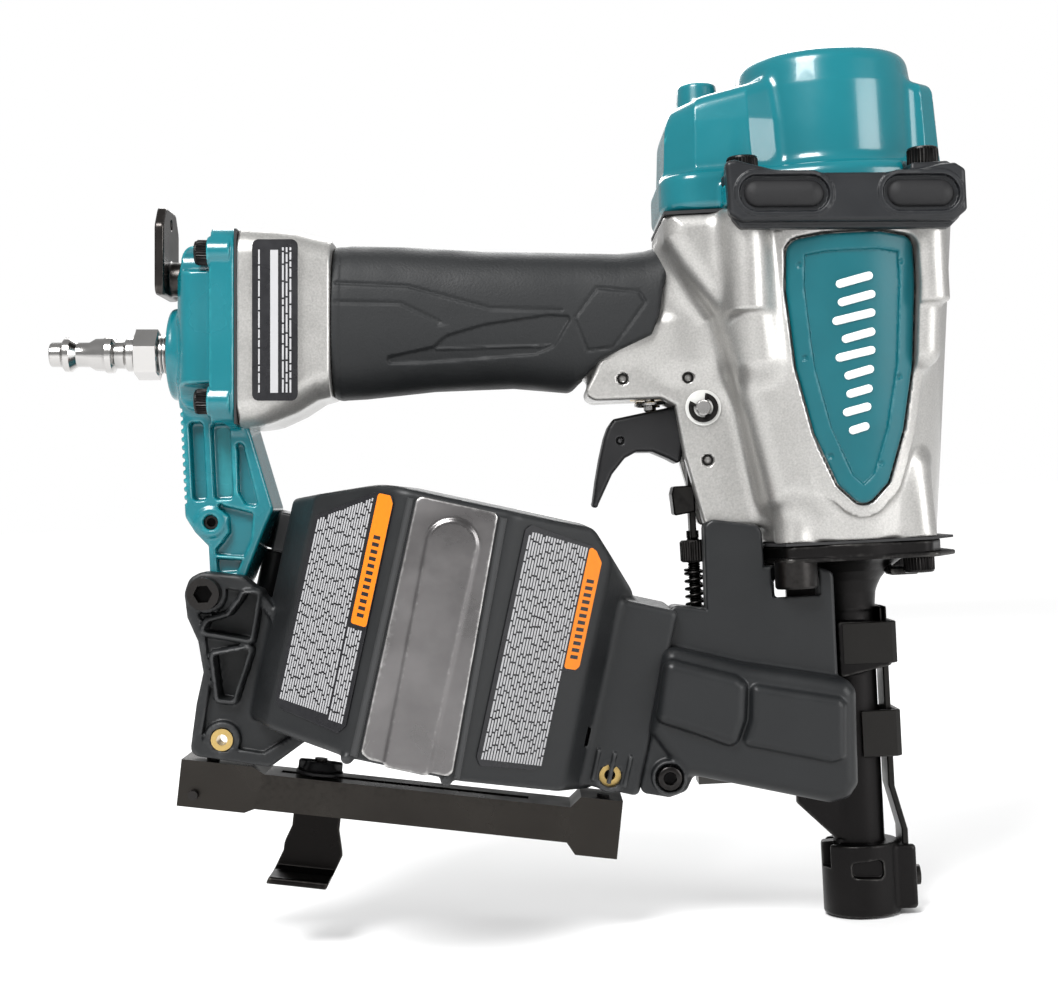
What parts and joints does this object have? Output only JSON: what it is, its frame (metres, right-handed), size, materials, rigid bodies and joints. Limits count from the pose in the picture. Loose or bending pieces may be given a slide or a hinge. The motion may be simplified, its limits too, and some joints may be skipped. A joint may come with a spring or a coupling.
{
  "type": "coil roofing nailer",
  "caption": "Pneumatic coil roofing nailer with a drum magazine, nose feed, rubber grip, air plug and shingle guide.",
  "frame": {"origin": "drive axis at the work face of the contact foot", "axes": "+Z from the work face up the drive axis to the cap, +X to the front (nose side), -Y the tool's right side"},
  "size_m": [0.2891, 0.1172, 0.271],
  "materials": {
    "teal_paint": "gloss enamel on cast aluminium",
    "silver_paint": "silver metallic paint on cast aluminium",
    "grip_rubber": "satin moulded rubber",
    "black_plastic": "glass-filled, fine texture",
    "black_rubber": "smooth",
    "black_steel": "black oxide",
    "dark_steel": "blued and oiled steel",
    "worn_steel": "worn grey phosphate",
    "bright_steel": "bright plated",
    "brass": "machined",
    "aluminium": "hard anodised",
    "label_film": "printed film without lettering"
  },
  "bodies": {
    "tool": {"air_filter": "brass", "air_plug": "bright_steel", "badges": "teal_paint", "bracket_bolt": "black_steel", "canister_foot": "black_rubber", "cap_screws": "black_steel", "coil_post": "black_plastic", "contact_spring": "bright_steel", "cylinder_sleeve": "aluminium", "door_hinge_pin": "bright_steel", "end_cap": "teal_paint", "feed_cover": "black_plastic", "feed_cover_screw": "black_steel", "feed_cylinder": "aluminium", "feed_spring": "bright_steel", "gaskets": "black_rubber", "grip_sleeve": "grip_rubber", "guard_pads": "black_rubber", "guards": "black_plastic", "handle_screws": "black_steel", "head_valve_spring": "bright_steel", "housing": "silver_paint", "labels": "label_film", "magazine_body": "black_plastic", "magazine_hinge_pin": "bright_steel", "nose": "dark_steel", "nose_screws": "black_steel", "pin_clip": "bright_steel", "piston_bumper": "black_rubber", "rail": "dark_steel", "rail_fasteners": "black_steel", "rating_plate": "label_film", "roll_pins": "bright_steel", "strip_guides": "dark_steel", "threaded_inserts": "brass", "top_cap": "teal_paint", "trigger_pin": "bright_steel", "trigger_valve": "brass", "valve_spring": "bright_steel", "wear_plate": "worn_steel"},
    "piston": {"piston_and_driver": "bright_steel", "piston_ring": "black_rubber"},
    "head_valve": {"head_valve": "aluminium"},
    "valve_stem": {"valve_stem": "bright_steel"},
    "trigger": {"trigger": "dark_steel"},
    "trigger_lever": {"trigger_lever": "bright_steel"},
    "contact_arm": {"contact_arm": "dark_steel", "contact_foot": "dark_steel", "foot_screw": "black_steel"},
    "depth_dial": {"depth_dial": "dark_steel"},
    "feed_piston": {"feed_piston": "bright_steel"},
    "feed_pawl": {"feed_pawl": "bright_steel"},
    "door": {"feed_door": "dark_steel"},
    "door_latch": {"door_latch": "dark_steel"},
    "magazine_cover": {"magazine_cover": "black_plastic"},
    "coil_tray": {"coil_tray": "black_plastic"},
    "shingle_guide": {"shingle_guide": "dark_steel", "guide_stud": "black_steel"},
    "guide_knob": {"guide_knob": "black_plastic"},
    "belt_hook": {"belt_hook": "dark_steel"}
  },
  "joints": [
    {"name": "trigger_pull", "type": "hinge", "parent": "tool", "child": "trigger", "pos_m": [-0.0444, 0, 0.1624], "axis": [0, 1, 0], "range_deg": [0, 8], "stiffness_Nm_per_rad": 0.6, "springref_deg": -20.05},
    {"name": "valve_stem_lift", "type": "slide", "parent": "tool", "child": "valve_stem", "axis": [0, 0, 1], "range_m": [0, 0.0023]},
    {"name": "lever_tilt", "type": "hinge", "parent": "trigger", "child": "trigger_lever", "pos_m": [-0.0644, 0, 0.1604], "axis": [0, -1, 0], "range_deg": [0, 2.5]},
    {"name": "contact_press", "type": "slide", "parent": "tool", "child": "contact_arm", "axis": [0, 0, 1], "range_m": [0, 0.007], "stiffness_N_per_m": 400, "springref_m": -0.008, "deforming": ["contact_spring"]},
    {"name": "depth_turn", "type": "hinge", "parent": "contact_arm", "child": "depth_dial", "pos_m": [-0.0484, 0, 0.114], "axis": [0, 0, 1], "range_deg": [-180, 180]},
    {"name": "piston_drive", "type": "slide", "parent": "tool", "child": "piston", "axis": [0, 0, -1], "range_m": [0, 0.054]},
    {"name": "head_valve_lift", "type": "slide", "parent": "tool", "child": "head_valve", "axis": [0, 0, 1], "range_m": [0, 0.003], "stiffness_N_per_m": 1500, "springref_m": -0.004, "deforming": ["head_valve_spring"]},
    {"name": "feed_stroke", "type": "slide", "parent": "tool", "child": "feed_piston", "axis": [-1, 0, 0], "range_m": [0, 0.011], "stiffness_N_per_m": 150, "springref_m": -0.01, "deforming": ["feed_spring"]},
    {"name": "pawl_click", "type": "hinge", "parent": "feed_piston", "child": "feed_pawl", "pos_m": [-0.01, -0.0073, 0.06], "axis": [0, 0, 1], "range_deg": [0, 4], "stiffness_Nm_per_rad": 0.02, "springref_deg": -17.19},
    {"name": "door_swing", "type": "hinge", "parent": "tool", "child": "door", "pos_m": [0.0035, 0.0142, 0.06], "axis": [0, 0, -1], "range_deg": [0, 110]},
    {"name": "latch_turn", "type": "hinge", "parent": "door", "child": "door_latch", "pos_m": [-0.04, 0.018, 0.07], "axis": [0, 1, 0], "range_deg": [0, 60]},
    {"name": "cover_swing", "type": "hinge", "parent": "tool", "child": "magazine_cover", "pos_m": [-0.18654, 0.014, 0.11288], "axis": [0.2588, 0, 0.9659], "range_deg": [0, 95]},
    {"name": "tray_height", "type": "slide", "parent": "tool", "child": "coil_tray", "axis": [0.2588, 0, 0.9659], "range_m": [0, 0.012]},
    {"name": "guide_slide", "type": "slide", "parent": "tool", "child": "shingle_guide", "axis": [0.9877, 0, -0.1564], "range_m": [-0.008, 0.062]},
    {"name": "knob_turn", "type": "hinge", "parent": "shingle_guide", "child": "guide_knob", "pos_m": [-0.17016, -0.011, 0.05336], "axis": [0.1564, 0, 0.9877], "range_deg": [-180, 180]},
    {"name": "hook_swivel", "type": "hinge", "parent": "tool", "child": "belt_hook", "pos_m": [-0.21076, 0, 0.21252], "axis": [-0.9987, 0, 0.0506], "range_deg": [-90, 90]}
  ],
  "couplings": [
    {"joint": "valve_stem_lift", "follows": "trigger_pull", "m_per_rad": 0.0156}
  ]
}
